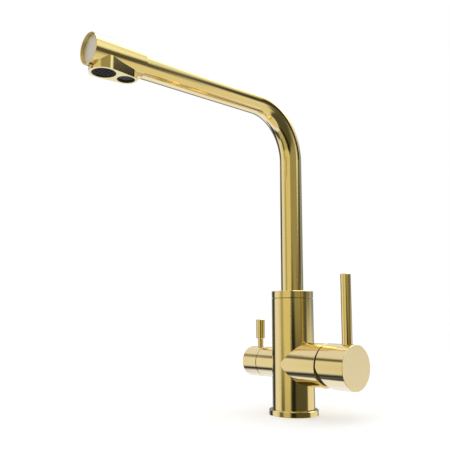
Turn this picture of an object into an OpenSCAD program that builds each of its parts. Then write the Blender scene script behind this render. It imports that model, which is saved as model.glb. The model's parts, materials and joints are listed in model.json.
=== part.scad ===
// Three way filtered kitchen tap: a swivelling L shaped spout, a joystick mixer on the right and a
// quarter turn valve for filtered water on the left.
// Frame: +Z up, origin at the centre of the base on the deck, spout towards -Y, mixer towards +X.

/* [Base] */
// Outer diameter of the ring at the foot of the column
base_ring_d = 52; // [50:0.5:60]
// Height of the base ring
base_ring_h = 6; // [5:0.5:9]
// Hole through the base ring, over a 35 mm deck hole
base_hole_d = 36; // [35.6:0.1:37]
// Thickness of the ring's foot, which the column stands on
ring_foot_t = 2; // [1.8:0.1:3]
// Thickness of the rubber gasket let into the ring
gasket_t = 1.4; // [1:0.1:1.5]
// Width of the rubber gasket
gasket_w = 2.4; // [2:0.1:3]

/* [Column] */
// Diameter of the column
column_d = 44.8; // [44.8:0.2:48]
// Height of the fixed column, up to the swivel seam
column_h = 122; // [118:1:150]

/* [Inlet block] */
// Diameter of the brass block that takes the hoses
block_d = 34.8; // [34:0.2:35]
// Height of the inlet block
block_h = 16; // [15:0.5:20]
// Thread diameter of each hose port
port_d = 10; // [9:0.5:10]
// Depth of each hose port
port_depth = 11; // [8:0.5:13]
// Radius of the circle that the three ports lie on
port_circle_r = 10.2; // [10.2:0.1:10.8]
// Thread diameter of the fixing stud
stud_d = 8; // [6:1:8]
// Depth of the fixing stud's hole
stud_depth = 13; // [10:0.5:14]

/* [Mixer arm] */
// Height of the axis of both arms
arm_z = 53; // [50:1:60]
// Diameter of the mixer arm
arm_d = 44.6; // [43.6:0.1:44.7]
// Reach of the mixer arm from the column's axis
arm_reach = 47; // [46.5:0.5:55]
// Outer radius of the dome that closes the mixer arm
dome_r = 21.2; // [20.9:0.1:21.4]
// Wall of the dome
dome_wall = 1; // [0.8:0.1:1.4]

/* [Mixer cartridge] */
// Diameter of the ceramic cartridge
cartridge_d = 35; // [33:0.5:35]
// Depth of the cartridge's seat behind the mixer arm's rim
seat_depth = 38; // [37:0.1:38.2]
// Depth of the pin that the stem rocks on behind the mixer arm's rim
pivot_depth = 7; // [6:0.5:7.5]
// Width of the stem, across the slot
stem_w = 7; // [6:0.5:8]
// Height of the stem, along the slot
stem_h = 8; // [7:0.5:8.5]
// Radius of the pin that the stem rocks on
pivot_pin_r = 1.5; // [1.2:0.1:1.8]

/* [Mixer handle] */
// Diameter of the turning hub
hub_d = 45.2; // [44:0.2:46.6]
// Gap between the arm and the hub
hub_gap = 2; // [1.2:0.1:2.4]
// Length of the hub along its top
hub_len = 33.6; // [32:0.2:45]
// Slope of the cut under the hub, which lets it tilt
hub_cut_angle = 23.6; // [23.2:0.2:28]
// Diameter of the lever
lever_d = 10.4; // [8:0.2:11]
// Height of the lever's top above the deck
lever_top_z = 145.3; // [120:1:180]
// Distance from the hub's end to the lever's axis
lever_setback = 10.4; // [9:0.2:13]

/* [Filter arm] */
// Diameter of the filter arm
filter_arm_d = 32; // [31:0.5:36]
// Reach of the filter arm from the column's axis
filter_arm_reach = 41; // [40:0.5:50]
// Gap between the filter arm and its hub
filter_gap = 0.6; // [0.5:0.1:1]
// Length of the filter hub
filter_hub_len = 20.8; // [20:0.2:30]
// Distance from the hub's end to the pin's axis
pin_setback = 13; // [11:0.2:13.4]
// Diameter of the thin pin
pin_d = 6; // [4:0.2:6.2]
// Diameter of the grip on the pin
grip_d = 9.6; // [8:0.2:12]
// Height of the grip's lower edge above the deck
grip_z = 78.2; // [74:0.2:85]
// Length of the grip
grip_len = 21.3; // [18:0.5:40]

/* [Spout] */
// Diameter of the spout's pipe
pipe_d = 24.1; // [22:0.1:24.5]
// Wall of the pipe
pipe_wall = 1.2; // [1:0.1:1.6]
// Radius of the bend, at the pipe's centre line
bend_r = 56; // [45:1:80]
// Height of the level part's axis
spout_z = 331.3; // [280:1:380]
// Height of the collar that turns with the spout
collar_h = 7.4; // [6:0.2:12]
// Thickness of the plastic washer in the swivel seam
washer_t = 0.5; // [0.4:0.1:0.8]
// Diameter of the bore that the spout turns in
socket_d = 27; // [26.6:0.1:28]
// Depth of that bore
socket_depth = 30; // [29:0.5:33]
// Outer diameter of the inner tube for filtered water
tube_d = 8.6; // [8:0.1:9]
// Inner diameter of the inner tube
tube_bore_d = 6.4; // [6.4:0.1:6.8]

/* [Spout head] */
// Diameter of the head
head_d = 29.2; // [28:0.2:32]
// Thickness of the lip round the end cap
lip_t = 1; // [0.8:0.1:1.4]
// Thickness of the end cap
cap_t = 1.5; // [1.2:0.1:2.2]
// Depth of the outlets' face below the head's axis
outlet_drop = 18; // [17:0.1:22]

/* [Outlets] */
// Distance from the column's axis to the mixed water aerator's axis
main_reach = 241; // [220:1:280]
// Diameter of the mixed water aerator
main_aerator_d = 21.9; // [20:0.1:22.5]
// Diameter of the filtered water aerator
filter_aerator_d = 16.5; // [15:0.1:17]
// Distance between the two aerators' axes
aerator_pitch = 22.8; // [21.6:0.1:28]
// Distance from the head's end to the mixed water aerator's axis
main_aerator_setback = 16; // [15.8:0.1:18]
// Distance from the filtered water aerator's axis to the head's start
filter_aerator_setback = 13.6; // [13.2:0.2:20]
// Rim of the outlet block round the mixed water aerator
main_rim = 2.4; // [2:0.1:2.5]
// Rim of the outlet block round the filtered water aerator
filter_rim = 1.9; // [1.6:0.1:2.2]
// Depth of the aerators' faces inside the outlet block
aerator_recess = 0.7; // [0.5:0.1:1]
// Height of each aerator's housing
aerator_h = 6; // [5:0.5:6.5]

/* [Hidden] */
$fn = 96;

// Colours of the materials
gold = "#d9bd72";
raw_brass = "#b8963f";
black = "#1d1e20";
rubber_black = "#101010";
white_plastic = "#e6e4dc";
grey_plastic = "#8d9298";
ceramic = "#f2f0ea";
steel = "#a9abad";

// Clearances and small sizes shared by many pieces
cut = 1;                 // overrun of every cut past the face that it opens
seat_gap = 0.05;         // between pieces that are fitted into each other
run_gap = 0.3;           // between pieces that turn or slide past each other
edge = 0.4;              // chamfer on turned edges
thread_gap = 0.1;        // radial play of a piece in a cast bore
groove_share = 2.8;      // height of an O-ring's groove, to the ring's section radius
hex = 6;                 // sides of a hexagon

column_r = column_d / 2;
arm_r = arm_d / 2;
hub_r = hub_d / 2;
pipe_r = pipe_d / 2;
pipe_bore_r = pipe_r - pipe_wall;
head_r = head_d / 2;
filter_arm_r = filter_arm_d / 2;
socket_r = socket_d / 2;
socket_floor_z = column_h - socket_depth;
tube_r = tube_d / 2;
tube_bore_r = tube_bore_d / 2;

// Inlet block: the filtered, the hot and the cold port
block_r = block_d / 2;
port_r = port_d / 2;
port_angles = [180, 60, -60];
waterway_r = 3;
filter_way_r = 1.8;
filter_way_rise = 4;              // of both filtered ways from the arms' axis
gasket_mid_r = (base_hole_d + base_ring_d) / 4;

// Mixer cartridge, measured along the arm from the column's axis
bore_r = cartridge_d / 2 + thread_gap;
housing_r = cartridge_d / 2 - thread_gap;
housing_wall = 1.7;
chamber_r = housing_r - housing_wall;
base_t = 4.5;
fixed_t = 4;
moving_t = 3.5;
carrier_t = 4;
flange_t = 3;
nut_ring_t = 4;
nut_hex_t = 4;
mouth_depth = 3;
nut_end = arm_reach - mouth_depth;
flange_x1 = nut_end - nut_hex_t - nut_ring_t;
flange_x0 = flange_x1 - flange_t;
seat_x = arm_reach - seat_depth;
pivot_x = arm_reach - pivot_depth;
fixed_x0 = seat_x + base_t;
fixed_x1 = fixed_x0 + fixed_t;
moving_x0 = fixed_x1 + seat_gap;
carrier_x0 = moving_x0 + moving_t;
carrier_x1 = carrier_x0 + carrier_t;
rotor_x0 = carrier_x1 + run_gap;
rotor_x1 = flange_x0 - run_gap;
rotor_r = chamber_r - run_gap;
rotor_neck_r = 10.5;
rotor_neck_wall = 2.5;
rotor_neck_end = pivot_x + pivot_pin_r + rotor_neck_wall;
ball_r = 2.8;
ball_x = carrier_x0 + ball_r + 3 * seat_gap;
ball_pocket_r = ball_r + run_gap;
tilt_max = 23;
// The disc starts this far below the arm's axis and ends as far above it
stem_throw = (pivot_x - ball_x) * sin(tilt_max) / 2;
disc_r = chamber_r - stem_throw - 1.5 * run_gap;
disc_chamber_depth = 2;
disc_lip = 1.2;
guide_y = 9;
guide_len = 7;
guide_width = 2.6;
stem_neck_r = 2.3;
stem_neck_end = ball_x + 2.5 * ball_r;
nut_ledge = 1.6;
thread_r = housing_r + nut_ledge;
nut_r = thread_r - seat_gap;
nut_hole_r = 12.5;
nut_hex_r = thread_r - 2 * edge;
mouth_r = sqrt(pow(dome_r, 2) - pow(arm_reach - pivot_x, 2));
skirt_r = mouth_r - edge;
dome_open_angle = 42;             // half angle of the opening that the stem swings in
outlet_way_x = 5.9;
outlet_way_r = 2.5;
outlet_way_drop = 6.5;            // of the mixed way below the arms' axis
seal_t = 1.2;
seal_wall = 1.2;

// Mixer handle
rim_x = arm_reach + hub_gap;
hub_end = rim_x + hub_len;
core_x = pivot_x + dome_r + run_gap + seat_gap;
lever_r = lever_d / 2;
lever_x = hub_end - lever_setback;
lever_seat_depth = 9;
lever_hole_z = arm_z + hub_r - lever_seat_depth;
lever_stub_share = 0.6;
lever_stub_r = lever_stub_share * lever_r;
lever_stub_len = 5;
stem_socket_x = lever_x - edge;
screw_r = 2.5;
screw_len = 8;
rear_screw_len = 7;
hex_key_r = 1.4;
hex_key_depth = 3;
mixer_screw_x = (core_x + stem_socket_x) / 2;

// Filter valve, measured along its arm from the column's axis
filter_seat_x = 14;
filter_rim_x = filter_arm_reach + filter_gap;
filter_end_x = filter_rim_x + filter_hub_len;
filter_bore_r = 9.1;
filter_thread_r = 10.4;
filter_thread_len = 16;
filter_thread_x = filter_arm_reach - filter_thread_len;
filter_hex_r = 9.6;
filter_cavity_depth = 5;
filter_core_x = filter_rim_x + filter_cavity_depth;
filter_hub_wall = 2.5;
filter_cavity_r = filter_arm_r - filter_hub_wall;
filter_chamber_r = 7.2;
filter_disc_r = filter_chamber_r - seat_gap;
filter_disc_t = 3;
filter_seal_t = 1;
filter_fixed_x0 = filter_seat_x + filter_seal_t;
filter_moving_x0 = filter_fixed_x0 + filter_disc_t + seat_gap;
filter_moving_x1 = filter_moving_x0 + filter_disc_t;
spindle_r = 3.5;
spindle_flange_t = 2.6;
spindle_x0 = filter_moving_x1 + seat_gap;
filter_chamber_end = spindle_x0 + spindle_flange_t + run_gap;
filter_hub_end_t = 5;
spindle_end = filter_end_x - filter_hub_end_t;
spindle_ring_r = 0.6;
pin_x = filter_end_x - pin_setback;
pin_r = pin_d / 2;
pin_foot = 4;                     // distance from the pin's foot to the spindle
pin_hole_z = arm_z + spindle_r + pin_foot;
grip_r = grip_d / 2;
pin_stub_len = 8;                 // of the pin inside the grip
filter_screw_r = 2;
filter_screw_len = 5;
filter_screw_x = (filter_core_x + spindle_end) / 2;

// Spout
pipe_bottom_z = column_h - washer_t;
collar_z0 = column_h + washer_t;
collar_z1 = collar_z0 + collar_h;
spigot_r = socket_r - 4 * seat_gap;
spigot_neck_r = pipe_bore_r - seat_gap;
spigot_neck_len = 12;
spigot_neck_wall = 2.4;
spigot_bore_r = spigot_neck_r - spigot_neck_wall;
spigot_z0 = socket_floor_z + 2 * edge;
o_ring_r = 1;
o_ring_groove_r = socket_r - seat_gap - 2 * o_ring_r;
o_ring_groove_h = 2.6;
o_ring_pitch = 6;
o_ring_zs = [spigot_z0 + o_ring_groove_h * 2, spigot_z0 + o_ring_groove_h * 2 + o_ring_pitch];
guide_ring_h = 3;
guide_ring_t = 1;
guide_ring_z = pipe_bottom_z - 2 * guide_ring_h;
screw_groove_h = 4;
screw_groove_z = guide_ring_z - screw_groove_h;
screw_groove_depth = 1.5;
screw_groove_r = spigot_r - screw_groove_depth;
nipple_r = tube_bore_r - 4 * seat_gap;
nipple_wall = 1.2;
nipple_bore_r = nipple_r - nipple_wall;
nipple_foot = 6;
nipple_len = 16;
nipple_top_z = socket_floor_z + nipple_len;
nipple_groove_depth = 0.5;
nipple_groove_r = nipple_r - nipple_groove_depth;
nipple_ring_drop = 4;
nipple_ring_r = (tube_bore_r - seat_gap - nipple_groove_r) / 2;
nipple_ring_z = nipple_top_z - nipple_ring_drop;
tube_lift = 5;
tube_bottom_z = socket_floor_z + tube_lift;
clip_h = 3;
clip_z0 = nipple_top_z + clip_h;
clip_wall = 1;
clip_arm_w = 2;
clip_arms = 3;

// Head and outlets, measured along the spout from the column's axis
main_s = main_reach;
filter_s = main_s - aerator_pitch;
head_start = filter_s - filter_aerator_setback;
head_end = main_s + main_aerator_setback;
main_r = main_aerator_d / 2;
filter_r = filter_aerator_d / 2;
outlet_z = spout_z - outlet_drop;
pipe_seat = 3;
pipe_end_s = head_start + pipe_seat;
cap_r = head_r - lip_t - seat_gap;
cap_wall = 0.3;                   // between the end cap's seat and the aerator's bore
cap_s0 = main_s + main_r + cap_wall;
cap_plug_len = 2;
aerator_z0 = outlet_z + aerator_recess;
aerator_z1 = aerator_z0 + aerator_h;
washer_h = 1.4;
ledge_z = aerator_z1 + washer_h;
ledge_t = 1;
head_bore_r = spout_z - ledge_z - ledge_t;
main_throat_r = head_bore_r - edge;
elbow_wall = 1;
elbow_r = tube_r + elbow_wall;
elbow_seat = 4;
elbow_s0 = filter_s - elbow_r - 0.6 * elbow_seat;
tube_end_s = elbow_s0 + elbow_seat;
housing_ring_t = 1.3;
grid_t = 2.4;
grid_rib = 1;
grid_gap = 2.2;
mesh_t = 1;
mesh_rib = 0.5;
mesh_gap = 1;

// Turns a child's z outwards along the mixer arm and its x downwards
module on_arm() {
    translate([0, 0, arm_z]) rotate([0, 90, 0]) children();
}

// The same along the filter arm, towards -X
module on_filter_arm() {
    mirror([1, 0, 0]) on_arm() children();
}

// Turns a child's z along the spout towards -Y and its y upwards
module on_spout() {
    translate([0, 0, spout_z]) rotate([90, 0, 0]) children();
}

// The set screw's place at the back of the column: a child's z points to the back
module at_rear_screw() {
    translate([0, 0, screw_groove_z]) rotate([-90, 0, 0]) children();
}

// Moves upright children over one of the aerators
module at_outlet(s) {
    translate([0, -s, 0]) children();
}

// A round bar from z0 to z1
module bar(r, z0, z1) {
    translate([0, 0, z0]) cylinder(r = r, h = z1 - z0);
}

// A round bar with chamfered ends
module turned_bar(r, z0, z1, c0 = edge, c1 = edge) {
    rotate_extrude()
        polygon([[0, z0], [r - c0, z0], [r, z0 + c0], [r, z1 - c1], [r - c1, z1], [0, z1]]);
}

// A plain ring from z0 to z1
module ring(r_out, r_in, z0, z1) {
    difference() {
        bar(r_out, z0, z1);
        bar(r_in, z0 - cut, z1 + cut);
    }
}

// A cutter for a groove of height h round a bar of radius r
module groove(r, r_groove, z, h) {
    ring(r + cut, r_groove, z - h / 2, z + h / 2);
}

// A ring of round section
module o_ring(r_mid, r_section, z) {
    translate([0, 0, z]) rotate_extrude() translate([r_mid, 0]) circle(r = r_section);
}

// A set screw that points down: its tip starts at z0, its hexagon socket opens at z1
module set_screw(r, z0, z1, tip_r, tip_len) {
    difference() {
        union() {
            bar(r, z0 + tip_len, z1);
            bar(tip_r, z0, z0 + tip_len + edge);
        }
        translate([0, 0, z1 - hex_key_depth]) cylinder(r = hex_key_r, h = hex_key_depth + cut, $fn = hex);
    }
}

// A pipe that rises on the column's axis from z0, bends and runs along the spout to s1
module bent_pipe(r_out, r_in, z0, s1) {
    bend_z = spout_z - bend_r;
    ring(r_out, r_in, z0, bend_z);
    translate([0, -bend_r, bend_z]) rotate([90, 0, 90]) rotate_extrude(angle = 90)
        translate([bend_r, 0]) difference() {
            circle(r = r_out);
            circle(r = r_in);
        }
    on_spout() ring(r_out, r_in, bend_r, s1);
}

// A slab of parallel bars, across a disc of radius r
module bars_across(r, rib, gap, z0, z1) {
    pitch = rib + gap;
    count = floor(r / pitch);
    intersection() {
        bar(r, z0, z1);
        union() for (i = [-count : count])
            translate([i * pitch - rib / 2, -r, z0]) cube([rib, 2 * r, z1 - z0]);
    }
}

// Body

// Places the cartridge's three water holes: the two inlets, then the outlet
module at_water_holes() {
    for (side = [-1, 1]) translate([stem_throw, side * port_circle_r * sin(port_angles[1]), 0]) {
        $hole_r = waterway_r;
        children();
    }
    translate([outlet_way_drop, 0, 0]) {
        $hole_r = outlet_way_r;
        children();
    }
}

module waterways() {
    inlet_x = port_circle_r * cos(port_angles[1]);
    inlet_y = port_circle_r * sin(port_angles[1]);
    for (side = [-1, 1]) {
        translate([inlet_x, side * inlet_y, 0]) bar(waterway_r, block_h - cut, arm_z - stem_throw);
        on_arm() translate([stem_throw, side * inlet_y, 0]) bar(waterway_r, inlet_x, seat_x + cut);
    }
    translate([outlet_way_x, 0, 0])
        bar(outlet_way_r, arm_z - outlet_way_drop, socket_floor_z + cut);
    on_arm() translate([outlet_way_drop, 0, 0]) bar(outlet_way_r, outlet_way_x, seat_x + cut);
    translate([-port_circle_r, 0, 0]) bar(waterway_r, block_h - cut, arm_z - filter_way_rise);
    on_filter_arm() {
        translate([filter_way_rise, 0, 0]) bar(filter_way_r, port_circle_r, filter_seat_x + cut);
        translate([-filter_way_rise, 0, 0]) bar(filter_way_r, 0, filter_seat_x + cut);
    }
    bar(filter_way_r, arm_z + filter_way_rise, socket_floor_z);
}

module body_casting() {
    color(gold) difference() {
        union() {
            turned_bar(column_r, ring_foot_t, column_h, edge, edge / 2);
            on_arm() turned_bar(arm_r, 0, arm_reach, edge, edge / 2);
            on_filter_arm() turned_bar(filter_arm_r, 0, filter_arm_reach, edge, edge / 2);
        }
        bar(block_r + thread_gap, 0, block_h);
        bar(socket_r, socket_floor_z, column_h + cut);
        bar(nipple_r + seat_gap, socket_floor_z - nipple_foot, socket_floor_z + cut);
        waterways();
        on_arm() {
            bar(bore_r, seat_x, arm_reach + cut);
            bar(thread_r, flange_x0, arm_reach + cut);
            bar(skirt_r + seat_gap, nut_end, arm_reach + cut);
        }
        on_filter_arm() {
            bar(filter_bore_r, filter_seat_x, filter_arm_reach + cut);
            bar(filter_thread_r, filter_thread_x, filter_arm_reach + cut);
        }
        at_rear_screw() bar(screw_r + seat_gap, 0, column_r + cut);
    }
}

module base_ring() {
    hole_r = base_hole_d / 2;
    ring_r = base_ring_d / 2;
    column_seat_r = column_r + thread_gap;
    color(gold) difference() {
        rotate_extrude() polygon([
            [hole_r, 0],
            [ring_r - edge, 0],
            [ring_r, edge],
            [ring_r, base_ring_h - edge],
            [ring_r - edge, base_ring_h],
            [column_seat_r, base_ring_h],
            [column_seat_r, ring_foot_t],
            [hole_r, ring_foot_t]
        ]);
        ring(gasket_mid_r + gasket_w / 2, gasket_mid_r - gasket_w / 2, -cut, gasket_t);
    }
}

module base_gasket() {
    half_w = gasket_w / 2 - seat_gap;
    color(rubber_black) ring(gasket_mid_r + half_w, gasket_mid_r - half_w, seat_gap, gasket_t);
}

module inlet_block() {
    color(raw_brass) difference() {
        turned_bar(block_r, 0, block_h);
        bar(stud_d / 2, -cut, stud_depth);
        for (angle = port_angles) rotate([0, 0, angle]) translate([port_circle_r, 0, 0]) {
            bar(port_r, -cut, port_depth);
            bar(waterway_r, 0, block_h + cut);
        }
    }
}

module swivel_washer() {
    color(black) ring(column_r - 4 * edge, socket_r + edge, column_h, collar_z0 - seat_gap);
}

module spout_set_screw() {
    tip_start = screw_groove_r + run_gap;
    color(steel) at_rear_screw()
        set_screw(screw_r, tip_start, socket_r + rear_screw_len, screw_r - 2 * edge, socket_r - tip_start);
}

module filter_nipple() {
    foot_z = socket_floor_z - nipple_foot;
    color(raw_brass) difference() {
        bar(nipple_r, foot_z, nipple_top_z);
        bar(nipple_bore_r, foot_z - cut, nipple_top_z + cut);
        groove(nipple_r, nipple_groove_r, nipple_ring_z, groove_share * nipple_ring_r);
    }
}

module nipple_o_ring() {
    color(rubber_black) o_ring(nipple_groove_r + nipple_ring_r, nipple_ring_r, nipple_ring_z);
}

// Mixer cartridge

module cartridge_base() {
    color(grey_plastic) on_arm() difference() {
        bar(housing_r, seat_x, fixed_x0);
        at_water_holes() {
            bar($hole_r, seat_x - cut, fixed_x0 + cut);
            bar($hole_r + seal_wall, seat_x - cut, seat_x + seal_t);
        }
    }
}

module cartridge_seals() {
    color(rubber_black) on_arm() at_water_holes()
        ring($hole_r + seal_wall - seat_gap, $hole_r, seat_x, seat_x + seal_t);
}

module cartridge_housing() {
    color(white_plastic) on_arm() {
        ring(housing_r, chamber_r, fixed_x0, flange_x0 + edge);
        ring(housing_r, rotor_neck_r + run_gap, flange_x0, flange_x1);
    }
}

module fixed_disc() {
    color(ceramic) on_arm() difference() {
        bar(chamber_r - seat_gap, fixed_x0, fixed_x1);
        at_water_holes() bar($hole_r, fixed_x0 - cut, fixed_x1 + cut);
    }
}

module cartridge_nut() {
    nut_x0 = nut_end - nut_hex_t;
    color(raw_brass) on_arm() difference() {
        union() {
            turned_bar(nut_r, flange_x1, nut_x0);
            translate([0, 0, nut_x0]) cylinder(r = nut_hex_r, h = nut_hex_t, $fn = hex);
        }
        bar(nut_hole_r, flange_x1 - cut, nut_end + cut);
    }
}

module cartridge_dome() {
    color(gold) on_arm() {
        difference() {
            intersection() {
                translate([0, 0, pivot_x]) sphere(r = dome_r);
                bar(dome_r, arm_reach, pivot_x + dome_r);
            }
            translate([0, 0, pivot_x]) sphere(r = dome_r - dome_wall);
            bar(dome_r * sin(dome_open_angle), arm_reach, pivot_x + dome_r + cut);
        }
        ring(skirt_r, skirt_r - dome_wall, nut_end, arm_reach + edge);
    }
}

// Outline of the slot that the stem swings in, as distance along the arm and height over its axis
function slot_outline() =
    let (
        half = stem_h / 2 / cos(tilt_max) + run_gap,
        slope = tan(tilt_max),
        inner = rotor_x0 - cut,
        outer = rotor_neck_end + cut
    ) [
        [inner, -half],
        [pivot_x, -half],
        [outer, -half - slope * (outer - pivot_x)],
        [outer, half],
        [pivot_x, half],
        [inner, half + slope * (pivot_x - inner)]
    ];

module cartridge_rotor() {
    slot_w = stem_w + 4 * seat_gap;
    color(white_plastic) difference() {
        union() {
            on_arm() {
                bar(rotor_r, rotor_x0, rotor_x1);
                bar(rotor_neck_r, rotor_x0, rotor_neck_end);
            }
            for (side = [-1, 1]) mirror([0, side < 0 ? 1 : 0, 0])
                translate([carrier_x0 + run_gap, guide_y + run_gap, arm_z - guide_len])
                    cube([carrier_t + run_gap, guide_width, 2 * guide_len]);
        }
        translate([0, slot_w / 2, arm_z]) rotate([90, 0, 0]) linear_extrude(slot_w)
            polygon(slot_outline());
        translate([pivot_x, 0, arm_z]) rotate([90, 0, 0])
            bar(pivot_pin_r + seat_gap, -rotor_neck_r - cut, rotor_neck_r + cut);
    }
}

module pivot_pin() {
    half_len = rotor_neck_r - 3 * edge;
    color(steel) translate([pivot_x, 0, arm_z]) rotate([90, 0, 0]) bar(pivot_pin_r, -half_len, half_len);
}

// Centre line of the moving disc while the tap is shut
module at_disc() {
    on_arm() translate([stem_throw, 0, 0]) children();
}

module moving_disc() {
    color(ceramic) at_disc() difference() {
        bar(disc_r, moving_x0, carrier_x0);
        intersection() {
            bar(disc_r - disc_lip, moving_x0 - cut, moving_x0 + disc_chamber_depth);
            union() {
                translate([waterway_r + run_gap, -disc_r, moving_x0 - cut])
                    cube([disc_r, 2 * disc_r, disc_chamber_depth + cut]);
                bar(outlet_way_r + disc_lip, moving_x0 - cut, moving_x0 + disc_chamber_depth);
            }
        }
    }
}

module disc_carrier() {
    color(grey_plastic) difference() {
        intersection() {
            at_disc() bar(disc_r - edge, carrier_x0, carrier_x1);
            translate([carrier_x0, -guide_y, arm_z - stem_throw - disc_r])
                cube([carrier_t, 2 * guide_y, 2 * disc_r]);
        }
        on_arm() bar(ball_pocket_r, carrier_x0 - cut, carrier_x1 + cut);
    }
}

// Mixer handle

module mixer_stem() {
    block_end = stem_socket_x - seat_gap;
    color(steel) difference() {
        union() {
            on_arm() {
                translate([0, 0, ball_x]) sphere(r = ball_r);
                bar(stem_neck_r, ball_x, stem_neck_end + edge);
            }
            translate([stem_neck_end, -stem_w / 2, arm_z - stem_h / 2])
                cube([block_end - stem_neck_end, stem_w, stem_h]);
        }
        translate([pivot_x, 0, arm_z]) rotate([90, 0, 0]) bar(pivot_pin_r + seat_gap, -stem_w, stem_w);
    }
}

module mixer_hub() {
    cut_len = hub_r + cut;
    color(gold) difference() {
        on_arm() turned_bar(hub_r, rim_x, hub_end, edge / 2, edge);
        on_arm() translate([0, 0, pivot_x]) sphere(r = dome_r + run_gap);
        translate([0, cut_len, arm_z]) rotate([90, 0, 0]) linear_extrude(2 * cut_len) polygon([
            [rim_x - cut, 0],
            [rim_x, 0],
            [rim_x + cut_len * tan(hub_cut_angle), -cut_len],
            [rim_x - cut, -cut_len]
        ]);
        translate([pivot_x, -stem_w / 2 - seat_gap, arm_z - stem_h / 2 - seat_gap])
            cube([stem_socket_x - pivot_x, stem_w + 2 * seat_gap, stem_h + 2 * seat_gap]);
        translate([lever_x, 0, 0]) {
            bar(lever_r + seat_gap, lever_hole_z, arm_z + hub_r + cut);
            bar(lever_stub_r + seat_gap, lever_hole_z - lever_stub_len, lever_hole_z + cut);
        }
        translate([mixer_screw_x, 0, 0]) bar(screw_r + seat_gap, arm_z - hub_r - cut, arm_z);
    }
}

module mixer_lever() {
    color(gold) translate([lever_x, 0, 0]) {
        turned_bar(lever_r, lever_hole_z, lever_top_z);
        bar(lever_stub_r, lever_hole_z - lever_stub_len, lever_hole_z + edge);
    }
}

module mixer_set_screw() {
    color(steel) translate([mixer_screw_x, 0, arm_z - stem_h / 2]) mirror([0, 0, 1])
        set_screw(screw_r, 0, screw_len, screw_r - edge, edge);
}

// Filter valve

module filter_valve_body() {
    color(raw_brass) on_filter_arm() difference() {
        union() {
            bar(filter_bore_r - thread_gap, filter_fixed_x0, filter_thread_x);
            bar(filter_thread_r - thread_gap, filter_thread_x, filter_arm_reach);
            translate([0, 0, filter_arm_reach])
                cylinder(r = filter_hex_r, h = filter_core_x - run_gap - filter_arm_reach, $fn = hex);
        }
        bar(filter_chamber_r, filter_fixed_x0 - cut, filter_chamber_end);
        bar(spindle_r + 2 * seat_gap, filter_chamber_end - cut, filter_core_x + cut);
    }
}

module filter_valve_seal() {
    color(rubber_black) on_filter_arm() difference() {
        bar(filter_bore_r - thread_gap, filter_seat_x, filter_fixed_x0);
        for (side = [-1, 1]) translate([side * filter_way_rise, 0, 0])
            bar(filter_way_r, filter_seat_x - cut, filter_fixed_x0 + cut);
    }
}

module filter_fixed_disc() {
    color(ceramic) on_filter_arm() difference() {
        bar(filter_disc_r, filter_fixed_x0, filter_fixed_x0 + filter_disc_t);
        for (side = [-1, 1]) translate([side * filter_way_rise, 0, 0])
            bar(filter_way_r, filter_fixed_x0 - cut, filter_moving_x0 + cut);
    }
}

// Its channel lies level while the valve is shut and joins the two ports after a quarter turn
module filter_moving_disc() {
    channel_l = filter_way_rise + filter_way_r;
    channel_w = 2 * filter_way_r - run_gap;
    color(ceramic) on_filter_arm() difference() {
        bar(filter_disc_r - run_gap, filter_moving_x0, filter_moving_x1);
        translate([-channel_w / 2, -channel_l, filter_moving_x0 - cut])
            cube([channel_w, 2 * channel_l, filter_disc_t / 2 + cut]);
    }
}

// Two grooves near the middle of the valve body hold the spindle's O-rings
spindle_ring_shares = [0.35, 0.7];
spindle_ring_xs = [
    for (share = spindle_ring_shares) filter_chamber_end + share * (filter_arm_reach - filter_chamber_end)
];

module filter_spindle() {
    groove_r = spindle_r + seat_gap - 2 * spindle_ring_r;
    color(raw_brass) on_filter_arm() difference() {
        union() {
            bar(filter_disc_r - run_gap, spindle_x0, spindle_x0 + spindle_flange_t);
            turned_bar(spindle_r, spindle_x0, spindle_end);
        }
        for (x = spindle_ring_xs)
            groove(spindle_r, groove_r, x, groove_share * spindle_ring_r);
    }
}

module spindle_o_rings() {
    color(rubber_black) on_filter_arm() for (x = spindle_ring_xs)
        o_ring(spindle_r + seat_gap - spindle_ring_r, spindle_ring_r, x);
}

module filter_hub() {
    color(gold) difference() {
        on_filter_arm() {
            difference() {
                turned_bar(filter_arm_r, filter_rim_x, filter_end_x, edge / 2, edge);
                bar(filter_cavity_r, filter_rim_x - cut, filter_core_x);
                bar(spindle_r + seat_gap, filter_core_x - cut, spindle_end + run_gap);
            }
        }
        translate([-pin_x, 0, 0]) bar(pin_r + seat_gap, pin_hole_z, arm_z + filter_arm_r + cut);
        translate([-filter_screw_x, 0, 0])
            bar(filter_screw_r + seat_gap, arm_z - filter_arm_r - cut, arm_z - spindle_r + cut);
    }
}

module filter_pin() {
    color(gold) translate([-pin_x, 0, 0]) bar(pin_r, pin_hole_z, grip_z + pin_stub_len);
}

module filter_grip() {
    color(gold) translate([-pin_x, 0, 0]) difference() {
        turned_bar(grip_r, grip_z, grip_z + grip_len);
        bar(pin_r + seat_gap, grip_z - cut, grip_z + pin_stub_len);
    }
}

module filter_set_screw() {
    color(steel) translate([-filter_screw_x, 0, arm_z - spindle_r]) mirror([0, 0, 1])
        set_screw(filter_screw_r, 0, filter_screw_len, filter_screw_r - edge, edge);
}

// Spout

module spout_pipe() {
    color(gold) bent_pipe(pipe_r, pipe_bore_r, pipe_bottom_z, pipe_end_s);
}

module spout_collar() {
    color(gold) difference() {
        turned_bar(column_r, collar_z0, collar_z1, edge / 2, edge);
        bar(pipe_r + seat_gap, collar_z0 - cut, collar_z1 + cut);
    }
}

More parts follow.
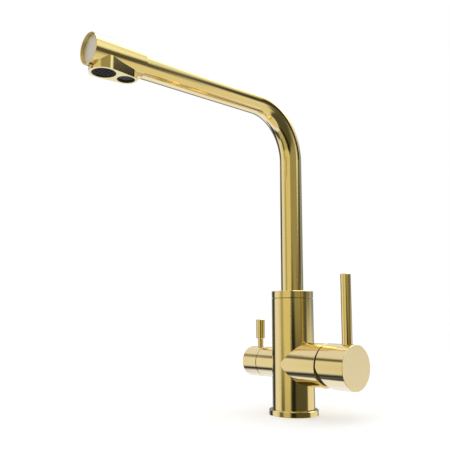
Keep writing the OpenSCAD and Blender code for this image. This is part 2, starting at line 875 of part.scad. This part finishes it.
module spout_spigot() {
    color(raw_brass) difference() {
        union() {
            turned_bar(spigot_r, spigot_z0, pipe_bottom_z);
            bar(spigot_neck_r, pipe_bottom_z - edge, pipe_bottom_z + spigot_neck_len);
        }
        bar(spigot_bore_r, spigot_z0 - cut, pipe_bottom_z + spigot_neck_len + cut);
        for (z = o_ring_zs) groove(spigot_r, o_ring_groove_r, z, o_ring_groove_h);
        groove(spigot_r, screw_groove_r, screw_groove_z, screw_groove_h);
        groove(spigot_r, spigot_r - guide_ring_t, guide_ring_z + guide_ring_h / 2, guide_ring_h);
    }
}

module spout_o_rings() {
    color(rubber_black) for (z = o_ring_zs) o_ring(o_ring_groove_r + o_ring_r, o_ring_r, z);
}

module spout_guide_ring() {
    color(white_plastic)
        ring(socket_r - seat_gap, spigot_r - guide_ring_t, guide_ring_z, guide_ring_z + guide_ring_h);
}

module filter_tube() {
    color(white_plastic) bent_pipe(tube_r, tube_bore_r, tube_bottom_z, tube_end_s);
}

// A three armed spider that centres the inner tube in the spigot
module tube_clip() {
    clip_in = tube_r + seat_gap;
    clip_out = spigot_bore_r - seat_gap;
    color(grey_plastic) {
        ring(clip_in + clip_wall, clip_in, clip_z0, clip_z0 + clip_h);
        intersection() {
            ring(clip_out, clip_in + clip_wall / 2, clip_z0, clip_z0 + clip_h);
            for (i = [0 : clip_arms - 1]) rotate([0, 0, i * 360 / clip_arms])
                translate([0, -clip_arm_w / 2, clip_z0]) cube([clip_out, clip_arm_w, clip_h]);
        }
    }
}

// Outline of the outlet block: two round ends with their common tangents
module outlet_outline() {
    r_main = main_r + main_rim;
    r_filter = filter_r + filter_rim;
    lean = asin((r_main - r_filter) / aerator_pitch);
    tangent_main = [r_main * cos(lean), -main_s + r_main * sin(lean)];
    tangent_filter = [r_filter * cos(lean), -filter_s + r_filter * sin(lean)];
    translate([0, -main_s]) circle(r = r_main);
    translate([0, -filter_s]) circle(r = r_filter);
    polygon([
        tangent_main,
        tangent_filter,
        [-tangent_filter[0], tangent_filter[1]],
        [-tangent_main[0], tangent_main[1]]
    ]);
}

module spout_head() {
    color(gold) difference() {
        union() {
            on_spout() turned_bar(head_r, head_start, head_end, edge / 2, edge / 2);
            translate([0, 0, outlet_z]) linear_extrude(outlet_drop) outlet_outline();
        }
        on_spout() {
            bar(pipe_r + seat_gap, head_start - cut, pipe_end_s);
            bar(head_bore_r, head_start, cap_s0 + cut);
            bar(cap_r + seat_gap, cap_s0, head_end + cut);
        }
        at_outlet(main_s) {
            bar(main_r, outlet_z - cut, ledge_z);
            bar(main_throat_r, outlet_z, spout_z);
        }
        at_outlet(filter_s) {
            bar(filter_r, outlet_z - cut, ledge_z);
            bar(elbow_r + seat_gap, outlet_z, spout_z);
        }
    }
}

module head_end_cap() {
    color(gold) on_spout() {
        turned_bar(cap_r, cap_s0, cap_s0 + cap_t, edge / 2, edge / 2);
        bar(head_bore_r - seat_gap, cap_s0 - cap_plug_len, cap_s0 + edge);
    }
}

// Carries the filtered water from the inner tube down to its own aerator
module outlet_elbow() {
    color(grey_plastic) difference() {
        union() {
            on_spout() bar(elbow_r, elbow_s0, filter_s);
            at_outlet(filter_s) bar(elbow_r, ledge_z, spout_z);
            at_outlet(filter_s) translate([0, 0, spout_z]) sphere(r = elbow_r);
        }
        on_spout() {
            bar(tube_r + seat_gap, elbow_s0 - cut, tube_end_s);
            bar(tube_bore_r, elbow_s0, filter_s);
        }
        at_outlet(filter_s) bar(tube_bore_r, ledge_z - cut, spout_z);
    }
}

// A housing with a rounded lip round its face
module aerator_housing(r) {
    color(black) ring(r - seat_gap, r - housing_ring_t, aerator_z0, aerator_z1);
}

module main_aerator_housing() {
    at_outlet(main_s) aerator_housing(main_r);
}

// Crossed bars, which break up the stream
module main_aerator_insert() {
    r = main_r - housing_ring_t - seat_gap;
    z0 = aerator_z0 + edge;
    color(black) at_outlet(main_s) {
        bars_across(r, grid_rib, grid_gap, z0, z0 + grid_t);
        rotate([0, 0, 90]) bars_across(r, grid_rib, grid_gap, z0, z0 + grid_t);
        ring(r, r - grid_rib, z0, z0 + grid_t);
    }
}

module main_aerator_seal() {
    color(rubber_black) at_outlet(main_s) ring(main_r - seat_gap, main_throat_r, aerator_z1, ledge_z);
}

module filter_aerator_housing() {
    at_outlet(filter_s) aerator_housing(filter_r);
}

module filter_aerator_mesh() {
    r = filter_r - housing_ring_t - seat_gap;
    z0 = aerator_z0 + 2 * edge;
    color(steel) at_outlet(filter_s) {
        bars_across(r, mesh_rib, mesh_gap, z0, z0 + mesh_t);
        rotate([0, 0, 90]) bars_across(r, mesh_rib, mesh_gap, z0, z0 + mesh_t);
        ring(r, r - mesh_rib, z0, z0 + mesh_t);
    }
}

module filter_aerator_seal() {
    color(rubber_black) at_outlet(filter_s) ring(filter_r - seat_gap, tube_bore_r, aerator_z1, ledge_z);
}

body_casting();
base_ring();
base_gasket();
inlet_block();
swivel_washer();
spout_set_screw();
filter_nipple();
nipple_o_ring();
cartridge_base();
cartridge_seals();
cartridge_housing();
fixed_disc();
cartridge_nut();
cartridge_dome();
cartridge_rotor();
pivot_pin();
moving_disc();
disc_carrier();
mixer_stem();
mixer_hub();
mixer_lever();
mixer_set_screw();
filter_valve_body();
filter_valve_seal();
filter_fixed_disc();
filter_moving_disc();
filter_spindle();
spindle_o_rings();
filter_hub();
filter_pin();
filter_grip();
filter_set_screw();
spout_pipe();
spout_collar();
spout_spigot();
spout_o_rings();
spout_guide_ring();
filter_tube();
tube_clip();
spout_head();
head_end_cap();
outlet_elbow();
main_aerator_housing();
main_aerator_insert();
main_aerator_seal();
filter_aerator_housing();
filter_aerator_mesh();
filter_aerator_seal();
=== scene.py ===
# Looks of a three way filtered kitchen tap in polished gold, in a plain white studio.
# Lengths are in metres and directions in degrees: azimuth 0 faces -Y and 90 faces +X.
import json
import math

import bpy
import numpy as np
from mathutils import Matrix, Vector


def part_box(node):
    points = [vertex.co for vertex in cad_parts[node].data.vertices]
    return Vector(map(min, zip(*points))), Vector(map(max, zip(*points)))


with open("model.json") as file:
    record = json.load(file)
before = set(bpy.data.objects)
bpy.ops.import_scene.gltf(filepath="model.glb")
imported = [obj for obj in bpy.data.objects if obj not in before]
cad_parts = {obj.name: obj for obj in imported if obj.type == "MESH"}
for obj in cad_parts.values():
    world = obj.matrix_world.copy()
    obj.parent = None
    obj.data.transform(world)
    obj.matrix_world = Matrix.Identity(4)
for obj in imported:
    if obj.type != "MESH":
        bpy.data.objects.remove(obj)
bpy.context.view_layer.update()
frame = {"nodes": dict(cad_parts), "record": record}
nodes = frame["nodes"]

# Camera, at the photograph's viewing angle

CAMERA_PLACE = (0.4518, -0.4976, 0.1000)
CAMERA_YAW = 0.847      # this and the next two in radians
CAMERA_PITCH = 0.153
CAMERA_ROLL = -0.003
CAMERA_LENS_MM = 48.72
SENSOR_MM = 36.0
CLIP_NEAR = 0.01
CLIP_FAR = 50.0


def make_camera():
    forward = Vector((
        -math.sin(CAMERA_YAW) * math.cos(CAMERA_PITCH),
        math.cos(CAMERA_YAW) * math.cos(CAMERA_PITCH),
        math.sin(CAMERA_PITCH),
    ))
    right = Vector((math.cos(CAMERA_YAW), math.sin(CAMERA_YAW), 0.0))
    right = Matrix.Rotation(CAMERA_ROLL, 3, forward) @ right
    up = right.cross(forward)
    data = bpy.data.cameras.new("camera")
    data.lens = CAMERA_LENS_MM
    data.sensor_width = SENSOR_MM
    data.sensor_fit = "HORIZONTAL"
    data.clip_start = CLIP_NEAR
    data.clip_end = CLIP_FAR
    camera = bpy.data.objects.new("camera", data)
    turn = Matrix((right, up, -forward)).transposed().to_4x4()
    camera.matrix_world = Matrix.Translation(CAMERA_PLACE) @ turn
    bpy.context.collection.objects.link(camera)
    bpy.context.scene.camera = camera


# Material nodes

# A Mix node repeats its socket names, so its sockets go by number: factor, first, second, result
MIX_SOCKETS = {"FLOAT": (0, 2, 3, 0), "RGBA": (0, 6, 7, 2)}
# Noise keeps mostly between these two values, which are spread over the range asked for
NOISE_LOW, NOISE_HIGH = 0.3, 0.7
WHITE = (1.0, 1.0, 1.0, 1.0)


class Nodes:
    """A material's node tree, with short ways to add and link nodes."""

    def __init__(self, name):
        self.material = bpy.data.materials.new(name)
        self.material.use_nodes = True
        self.tree = self.material.node_tree
        self.shader = self.tree.nodes["Principled BSDF"]

    def add(self, kind, **values):
        node = self.tree.nodes.new(kind)
        for name, value in values.items():
            if name in node.inputs:
                node.inputs[name].default_value = value
            else:
                setattr(node, name, value)
        return node

    def link(self, source, target):
        self.tree.links.new(source, target)

    def feed(self, value, target):
        """Links a socket to the target, or sets a plain colour there."""
        if isinstance(value, tuple):
            target.default_value = (*value, 1.0)
        else:
            self.link(value, target)

    def set(self, name, value):
        """Gives one of the shader's sockets a plain value."""
        self.shader.inputs[name].default_value = value

    def shade(self, name, source):
        """Drives one of the shader's sockets by another node."""
        self.link(source, self.shader.inputs[name])

    def source_of(self, name):
        return self.shader.inputs[name].links[0].from_socket

    def place(self):
        return self.add("ShaderNodeTexCoord").outputs["Object"]

    def noise(self, scale, detail=3.0):
        node = self.add("ShaderNodeTexNoise", Scale=scale, Detail=detail)
        self.link(self.place(), node.inputs["Vector"])
        return node.outputs["Fac"]

    def spread(self, value, low, high, start=NOISE_LOW, end=NOISE_HIGH):
        """Maps a value from start and end onto low and high."""
        node = self.add("ShaderNodeMapRange")
        for name, number in zip(("From Min", "From Max", "To Min", "To Max"), (start, end, low, high)):
            node.inputs[name].default_value = number
        self.link(value, node.inputs["Value"])
        return node.outputs["Result"]

    def blend(self, factor, low, high, kind="RGBA"):
        """Mixes two colours, or two numbers where the kind is FLOAT."""
        node = self.add("ShaderNodeMix", data_type=kind)
        by, first, second, result = MIX_SOCKETS[kind]
        self.feed(low, node.inputs[first])
        self.feed(high, node.inputs[second])
        self.link(factor, node.inputs[by])
        return node.outputs[result]

    def bump(self, height, distance):
        node = self.add("ShaderNodeBump", Distance=distance)
        self.link(height, node.inputs["Height"])
        self.shade("Normal", node.outputs["Normal"])


# Materials


def darker(colour, share):
    return tuple(share * c for c in colour)


GOLD = (0.80, 0.63, 0.27)
GOLD_DEEP = (0.76, 0.585, 0.235)
SATIN_GOLD = (0.97, 0.81, 0.45)
PALE_GOLD = (0.72, 0.66, 0.50)
RAW_BRASS = (0.70, 0.52, 0.22)
BLACK = (0.014, 0.012, 0.009)
CHARCOAL = (0.036, 0.031, 0.020)
RUBBER = (0.014, 0.014, 0.015)
WASHER = (0.11, 0.09, 0.05)
WHITE_PLASTIC = (0.78, 0.77, 0.71)
GREY_PLASTIC = (0.26, 0.29, 0.32)
CERAMIC = (0.84, 0.82, 0.76)
STEEL = (0.62, 0.61, 0.59)
DARK_STEEL = (0.085, 0.066, 0.034)
# near black tone for the cartridge dome: painted shade standing in for the shadow in the gap between arm
# and hub
PAINTED_GAP_SHADE = (0.055, 0.042, 0.022)

# Each metal: light and dark tone, roughness from and to, scale of its clouds, depth of its wipe marks
METALS = {
    "polished_gold": (GOLD, GOLD_DEEP, 0.085, 0.105, 40.0, 0.0),
    "satin_cap": (PALE_GOLD, darker(PALE_GOLD, 0.97), 0.46, 0.54, 80.0, 0.0),
    "raw_brass": (RAW_BRASS, darker(RAW_BRASS, 0.9), 0.24, 0.36, 120.0, 0.00002),
    "steel": (STEEL, darker(STEEL, 0.92), 0.22, 0.34, 150.0, 0.00001),
    "dark_mesh": (DARK_STEEL, darker(DARK_STEEL, 0.8), 0.3, 0.45, 200.0, 0.0),
    "painted_gap_shade": (PAINTED_GAP_SHADE, darker(PAINTED_GAP_SHADE, 0.7), 0.26, 0.36, 150.0, 0.0),
}
# Each moulded stuff: light and dark tone, roughness from and to, depth of its grain, its specular level
MOULDED = {
    "black_plastic": (CHARCOAL, BLACK, 0.32, 0.46, 0.00003, 0.06),
    "rubber": (RUBBER, BLACK, 0.6, 0.8, 0.00005, 0.5),
    "white_plastic": (WHITE_PLASTIC, darker(WHITE_PLASTIC, 0.95), 0.35, 0.5, 0.00002, 0.5),
    "grey_plastic": (GREY_PLASTIC, darker(GREY_PLASTIC, 0.9), 0.4, 0.55, 0.00002, 0.5),
    "ceramic": (CERAMIC, darker(CERAMIC, 0.97), 0.15, 0.25, 0.00001, 0.5),
    "washer": (WASHER, darker(WASHER, 0.8), 0.5, 0.65, 0.00003, 0.5),
}
# Pieces that differ from the rest of their slot
OWN_MATERIAL = {
    "mixer_hub": "hub_gold",
    "head_end_cap": "satin_cap",
    # the cartridge dome is painted near black, as painted shade for the gap between arm and hub
    "cartridge_dome": "painted_gap_shade",
    "filter_aerator_mesh": "dark_mesh",
    "swivel_washer": "washer",
}
FINE_PER_CLOUD = 30.0       # how much finer a metal's wipe marks are than its clouds
FINE_DETAIL = 5.0
MOULDED_CLOUD = 220.0
GRAIN_PER_CLOUD = 12.0
GRAIN_DETAIL = 4.0
SATIN_ROUGHNESS = (0.44, 0.52)
SATIN_GRAIN = 900.0
SATIN_DETAIL = 6.0
SATIN_METALLIC = 0.5
SATIN_DEPTH = 0.0002        # how far in from the hub's end the satin face reaches


def metal(name, light, dark, rough_low, rough_high, clouds, marks):
    """Polished or turned metal: faint cloudiness in colour and gloss, and fine wipe marks."""
    m = Nodes(name)
    m.set("Metallic", 1.0)
    m.shade("Base Color", m.blend(m.noise(clouds), dark, light))
    fine = m.noise(clouds * FINE_PER_CLOUD, FINE_DETAIL)
    m.shade("Roughness", m.spread(fine, rough_low, rough_high))
    if marks:
        m.bump(fine, marks)
    return m


def moulded(name, light, dark, rough_low, rough_high, grain, specular):
    """Moulded plastic, rubber or ceramic with a fine grain."""
    m = Nodes(name)
    m.set("Specular IOR Level", specular)
    m.shade("Base Color", m.blend(m.noise(MOULDED_CLOUD), dark, light))
    fine = m.noise(MOULDED_CLOUD * GRAIN_PER_CLOUD, GRAIN_DETAIL)
    m.shade("Roughness", m.spread(fine, rough_low, rough_high))
    m.bump(fine, grain)
    return m


def hub_gold():
    """Polished like the rest, with a satin end face."""
    m = metal("hub_gold", *METALS["polished_gold"])
    hub_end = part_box("mixer_hub")[1][0]
    split = m.add("ShaderNodeSeparateXYZ")
    m.link(m.place(), split.inputs["Vector"])
    compare = m.add("ShaderNodeMath", operation="GREATER_THAN")
    compare.inputs[1].default_value = hub_end - SATIN_DEPTH
    m.link(split.outputs["X"], compare.inputs[0])
    on_face = compare.outputs[0]
    satin = m.spread(m.noise(SATIN_GRAIN, SATIN_DETAIL), *SATIN_ROUGHNESS)
    m.shade("Roughness", m.blend(on_face, m.source_of("Roughness"), satin, "FLOAT"))
    m.shade("Base Color", m.blend(on_face, m.source_of("Base Color"), SATIN_GOLD))
    m.shade("Metallic", m.spread(on_face, 1.0, SATIN_METALLIC, 0.0, 1.0))
    return m


def make_materials():
    made = {name: metal(name, *row) for name, row in METALS.items()}
    made.update({name: moulded(name, *row) for name, row in MOULDED.items()})
    made["satin_cap"].set("Metallic", SATIN_METALLIC)
    made["hub_gold"] = hub_gold()
    return {name: m.material for name, m in made.items()}


def dress_frame():
    """Gives every carried over node the material of its slot, or its own."""
    materials = make_materials()
    slots = {row["node"]: row["material_slot"] for row in frame["record"]["subparts"]}
    for name, obj in nodes.items():
        chosen = materials[OWN_MATERIAL.get(name, slots[name])]
        for slot in obj.material_slots:
            slot.material = chosen


# Studio: a white room, and cards that only the gloss of the metal sees

CARD_DISTANCE = 8.0
CARD_STEP = 0.05        # how much nearer each card is than the one before, so that it covers it
CARD_GRID = 2.0         # degrees between the points of its mesh

# Each card: name, azimuths, elevations, width of its soft edge in degrees, and its light, where white is 1
CARDS = [
    ("floor_glow", (-180, 180), (-90, -8), 9, (1.08, 1.22, 2.00)),
    ("nadir", (-180, 180), (-90, -58), 10, (0.88, 0.84, 0.68)),
    ("warm_floor", (110, 156), (-64, -7), 8, (0.92, 0.90, 0.78)),
    ("warm_foot", (152, 216), (-66, -40), 9, (0.66, 0.58, 0.42)),
    ("rear_floor", (-178, -112), (-38, -6), 9, (1.03, 1.13, 1.32)),
    ("rear_left", (-180, -88), (-20, 21), 9, (0.26, 0.28, 0.34)),
    ("panel", (-86, -26), (-32, 28), 8, (0.97, 1.01, 1.18)),
    ("panel_edge", (-46, -22), (-32, 24), 12, (0.86, 0.85, 0.77)),
    ("panel_top", (-136, -24), (34, 60), 8, (0.94, 1.00, 1.35)),
    ("warm_wall", (-26, 36), (-60, 60), 12, (0.84, 0.80, 0.52)),
    ("warm_shade", (-30, 34), (-60, -2), 10, (0.58, 0.55, 0.37)),
    ("olive_wall", (27, 116), (-60, 48), 14, (0.40, 0.38, 0.24)),
    ("olive_shade", (21, 122), (-66, 4), 10, (0.10, 0.10, 0.07)),
    ("dark_strip", (27, 59), (-60, 11), 12, (0.02, 0.02, 0.015)),
    ("orange_strip", (84, 100), (-5, 8), 5, (0.24, 0.18, 0.07)),
    ("dark_back", (98, 130), (-22, 14), 11, (0.11, 0.11, 0.09)),
    ("dark_shelf", (111, 162), (-6, 27), 13, (0.08, 0.08, 0.09)),
    ("dark_corner", (126, 157), (10, 36), 8, (0.02, 0.02, 0.02)),
    ("rear_shade", (154, 202), (-6, 28), 10, (0.30, 0.35, 0.46)),
    ("high_front", (-20, 66), (40, 76), 10, (1.12, 1.26, 2.20)),
    ("high_back", (44, 130), (35, 64), 10, (1.02, 1.10, 1.70)),
    ("high_panel", (104, 130), (9, 52), 12, (1.20, 1.32, 1.30)),
    ("high_corner", (121, 143), (24, 52), 11, (1.05, 1.10, 1.25)),
    ("frame_top", (-112, -48), (24, 38), 7, (0.20, 0.21, 0.24)),
    ("frame_slope", (-57, -20), (18, 36), 8, (0.13, 0.13, 0.14)),
    ("frame_bottom", (-112, -20), (-45, -22), 10, (0.03, 0.035, 0.05)),
    ("frame_corner", (-67, -20), (-54, -34), 8, (0.04, 0.04, 0.05)),
    ("frame_left", (-104, -69), (-36, 32), 10, (0.04, 0.05, 0.07)),
    ("frame_right", (-33, -6), (-38, 23), 11, (0.48, 0.46, 0.36)),
    ("frame_foot", (-30, -3), (-38, -1), 8, (0.15, 0.15, 0.12)),
    ("softbox", (131, 228), (36, 90), 10, (3.4, 3.4, 3.6)),
    ("softbox_foot", (149, 226), (28, 60), 10, (3.4, 3.4, 3.6)),
]
FULL_TURN = 360
STRAIGHT_UP = 90


def smooth(t):
    t = min(max(t, 0.0), 1.0)
    return t * t * (3.0 - 2.0 * t)


def direction(azimuth, elevation):
    a, e = math.radians(azimuth), math.radians(elevation)
    return Vector((math.sin(a) * math.cos(e), -math.cos(a) * math.cos(e), math.sin(e)))


def card_material():
    """Glows in the colour painted on the card, and is clear where its alpha is low."""
    material = bpy.data.materials.new("studio_card")
    material.use_nodes = True
    material.cycles.emission_sampling = "NONE"
    tree = material.node_tree
    tree.nodes.clear()
    out = tree.nodes.new("ShaderNodeOutputMaterial")
    mix = tree.nodes.new("ShaderNodeMixShader")
    clear = tree.nodes.new("ShaderNodeBsdfTransparent")
    glow = tree.nodes.new("ShaderNodeEmission")
    paint = tree.nodes.new("ShaderNodeVertexColor")
    paint.layer_name = "light"
    tree.links.new(paint.outputs["Color"], glow.inputs["Color"])
    tree.links.new(paint.outputs["Alpha"], mix.inputs[0])
    tree.links.new(clear.outputs[0], mix.inputs[1])
    tree.links.new(glow.outputs[0], mix.inputs[2])
    tree.links.new(mix.outputs[0], out.inputs["Surface"])
    return material


def make_card(name, azimuths, elevations, feather, light, distance, material):
    """A patch of a sphere round the object, which fades out over the feather at its free edges."""
    wide, tall = azimuths[1] - azimuths[0], elevations[1] - elevations[0]
    columns, rows = max(2, round(wide / CARD_GRID)), max(2, round(tall / CARD_GRID))
    sides_fade = wide < FULL_TURN
    foot_fades, top_fades = elevations[0] > -STRAIGHT_UP, elevations[1] < STRAIGHT_UP
    verts, alphas = [], []
    for j in range(rows + 1):
        for i in range(columns + 1):
            u, v = wide * i / columns, tall * j / rows
            verts.append(direction(azimuths[0] + u, elevations[0] + v) * distance)
            side = smooth(min(u, wide - u) / feather) if sides_fade else 1.0
            foot = smooth(v / feather) if foot_fades else 1.0
            top = smooth((tall - v) / feather) if top_fades else 1.0
            alphas.append(side * foot * top)
    faces = [
        (a, a + 1, a + columns + 2, a + columns + 1)
        for j in range(rows) for a in range(j * (columns + 1), j * (columns + 1) + columns)
    ]
    mesh = bpy.data.meshes.new(name)
    mesh.from_pydata(verts, [], faces)
    paint = mesh.color_attributes.new("light", "FLOAT_COLOR", "POINT")
    for point, alpha in zip(paint.data, alphas):
        point.color = (*light, alpha)
    mesh.materials.append(material)
    card = bpy.data.objects.new(name, mesh)
    bpy.context.collection.objects.link(card)
    card.visible_camera = False
    card.visible_diffuse = False
    card.visible_shadow = False
    card.visible_transmission = False


# Floor: its lift is light that only the camera sees, which takes it up to the backdrop's white

FLOOR_SIZE = 6.0
FLOOR_LIFT = 0.22
FLOOR_LIGHT = (0.98, 0.98, 0.98)
FLOOR_DARK = (0.97, 0.97, 0.97)
FLOOR_CLOUD = 0.6


def make_floor():
    mesh = bpy.data.meshes.new("floor")
    corners = [(x * FLOOR_SIZE, y * FLOOR_SIZE, 0.0) for x, y in ((-1, -1), (1, -1), (1, 1), (-1, 1))]
    mesh.from_pydata(corners, [], [(0, 1, 2, 3)])
    floor = bpy.data.objects.new("floor", mesh)
    bpy.context.collection.objects.link(floor)
    m = Nodes("floor_white")
    m.shade("Base Color", m.blend(m.noise(FLOOR_CLOUD), FLOOR_DARK, FLOOR_LIGHT))
    m.set("Roughness", 1.0)
    m.set("Specular IOR Level", 0.0)
    path = m.add("ShaderNodeLightPath")
    glow = m.add("ShaderNodeMath", operation="MULTIPLY")
    glow.inputs[1].default_value = FLOOR_LIFT
    m.link(path.outputs["Is Camera Ray"], glow.inputs[0])
    m.set("Emission Color", WHITE)
    m.shade("Emission Strength", glow.outputs[0])
    mesh.materials.append(m.material)
    floor.visible_glossy = False


# Light: an even white world, which camera, gloss and glass see at full white, and one soft key lamp

AMBIENT = 0.80
KEY_WATTS = 3.2
KEY_PLACE = (0.6, -0.9, 1.3)
KEY_SIZE = 1.2
KEY_AIM = (0.0, -0.05, 0.12)


def make_world():
    world = bpy.data.worlds.new("white_room")
    bpy.context.scene.world = world
    world.use_nodes = True
    tree = world.node_tree
    tree.nodes.clear()
    out = tree.nodes.new("ShaderNodeOutputWorld")
    back = tree.nodes.new("ShaderNodeBackground")
    path = tree.nodes.new("ShaderNodeLightPath")
    seen = path.outputs["Is Camera Ray"]
    for kind in ("Is Glossy Ray", "Is Transmission Ray"):
        more = tree.nodes.new("ShaderNodeMath")
        more.operation = "MAXIMUM"
        tree.links.new(seen, more.inputs[0])
        tree.links.new(path.outputs[kind], more.inputs[1])
        seen = more.outputs[0]
    strength = tree.nodes.new("ShaderNodeMapRange")
    strength.inputs["To Min"].default_value = AMBIENT
    strength.inputs["To Max"].default_value = 1.0
    tree.links.new(seen, strength.inputs["Value"])
    back.inputs["Color"].default_value = WHITE
    tree.links.new(strength.outputs["Result"], back.inputs["Strength"])
    tree.links.new(back.outputs[0], out.inputs["Surface"])


def make_key():
    data = bpy.data.lights.new("key", "AREA")
    data.energy = KEY_WATTS
    data.size = KEY_SIZE
    key = bpy.data.objects.new("key", data)
    aim = (Vector(KEY_AIM) - Vector(KEY_PLACE)).to_track_quat("-Z", "Y")
    key.matrix_world = Matrix.Translation(KEY_PLACE) @ aim.to_matrix().to_4x4()
    key.visible_glossy = False
    bpy.context.collection.objects.link(key)


def make_studio():
    material = card_material()
    for order, card in enumerate(CARDS):
        make_card(*card, CARD_DISTANCE - order * CARD_STEP, material)
    make_floor()
    make_world()
    make_key()


bpy.context.scene.view_settings.view_transform = "Standard"
make_camera()
dress_frame()
make_studio()
